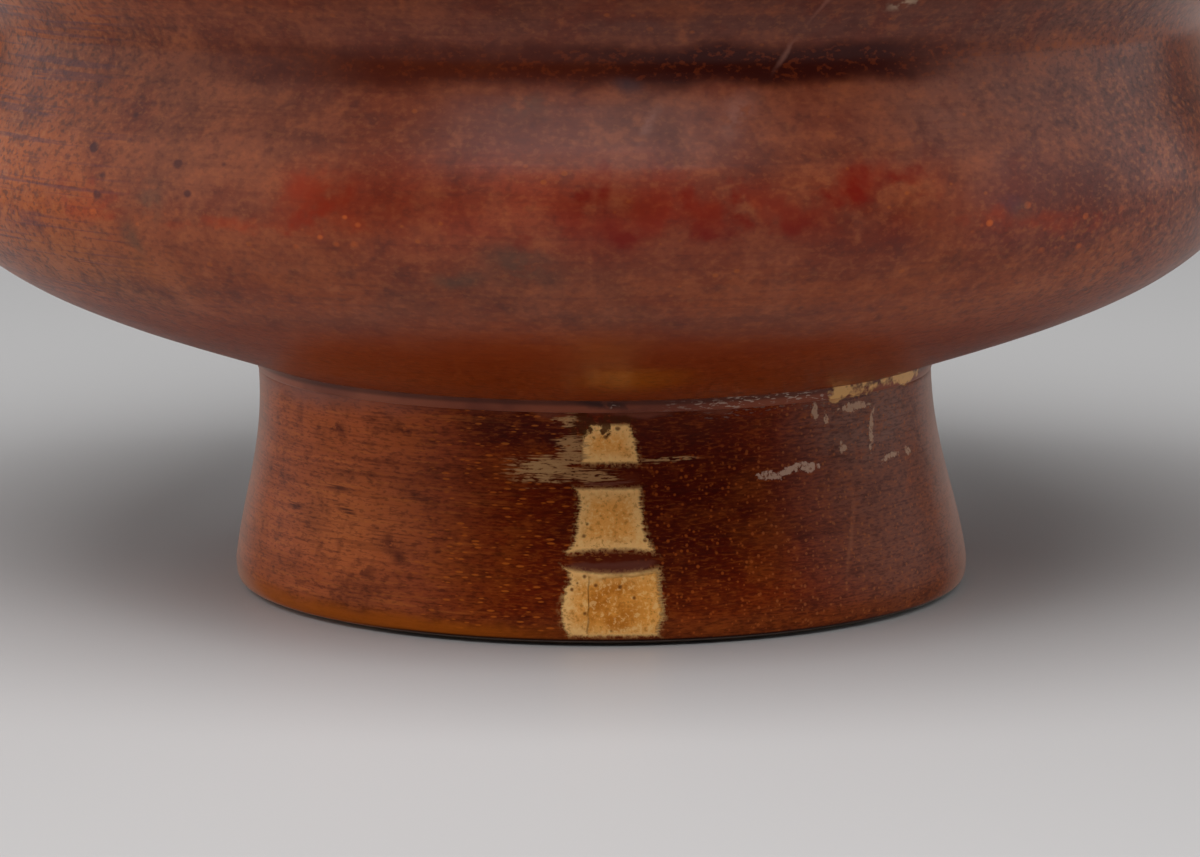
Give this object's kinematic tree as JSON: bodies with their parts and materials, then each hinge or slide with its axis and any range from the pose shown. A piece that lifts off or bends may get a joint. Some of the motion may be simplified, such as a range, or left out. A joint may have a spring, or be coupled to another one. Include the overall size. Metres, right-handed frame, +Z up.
{
  "type": "ceramic bowl",
  "caption": "Turned red-slipped ceramic bowl with a double-curved wall, soft waist and rounded lip, standing on a tall flaring foot ring.",
  "frame": {"origin": "on the table, under the middle of the foot ring", "axes": "+Z up along the wheel axis; -Y is the side with the bare clay marks on the foot"},
  "size_m": [0.113, 0.113, 0.058],
  "materials": {
    "bowl_red_slip": "burnished red clay slip, satin",
    "foot_red_slip": "burnished red clay slip, satin, bare clay where it was held",
    "luting_slip": "fired clay slip, satin"
  },
  "bodies": {
    "root": {"bowl_body": "bowl_red_slip", "foot_ring": "foot_red_slip", "luting_slip": "luting_slip"}
  },
  "joints": []
}
